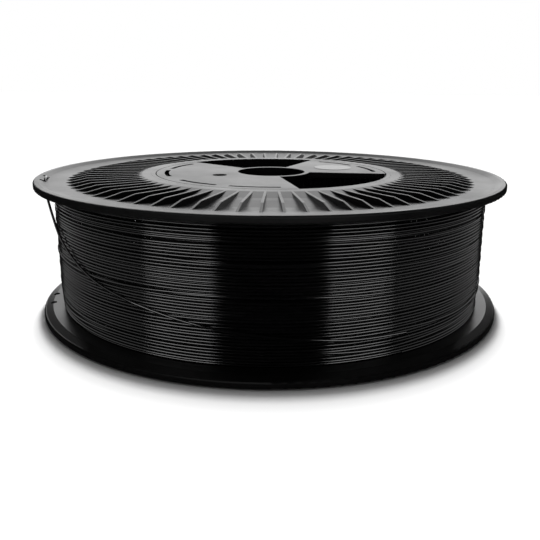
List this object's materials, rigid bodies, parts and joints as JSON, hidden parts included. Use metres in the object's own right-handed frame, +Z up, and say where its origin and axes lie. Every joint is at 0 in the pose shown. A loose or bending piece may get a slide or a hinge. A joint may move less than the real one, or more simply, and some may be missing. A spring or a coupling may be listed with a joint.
{
  "type": "filament spool",
  "caption": "Large flanged filament spool with ribbed flanges, an open-sectored hub with a central bore, a full winding and a threaded loose end.",
  "frame": {"origin": "centre of the lower resting plane, on the spool's axis", "axes": "+Z up along the spool's axis; +Y away from the side on which the loose end rises to the left"},
  "size_m": [0.35, 0.35, 0.1002],
  "materials": {
    "flange_plastic": "satin moulded black",
    "hub_plastic": "satin moulded black",
    "drum_plastic": "moulded black",
    "label": "plain pale label",
    "filament": "glossy black"
  },
  "bodies": {
    "root": {"flange_bottom": "flange_plastic", "flange_top": "flange_plastic", "core_drum": "drum_plastic", "hub_plate_bottom": "hub_plastic", "hub_plate_top": "hub_plastic", "bore_tube": "drum_plastic", "label_disc": "label", "filament_winding": "filament", "filament_tail": "filament"}
  },
  "joints": []
}
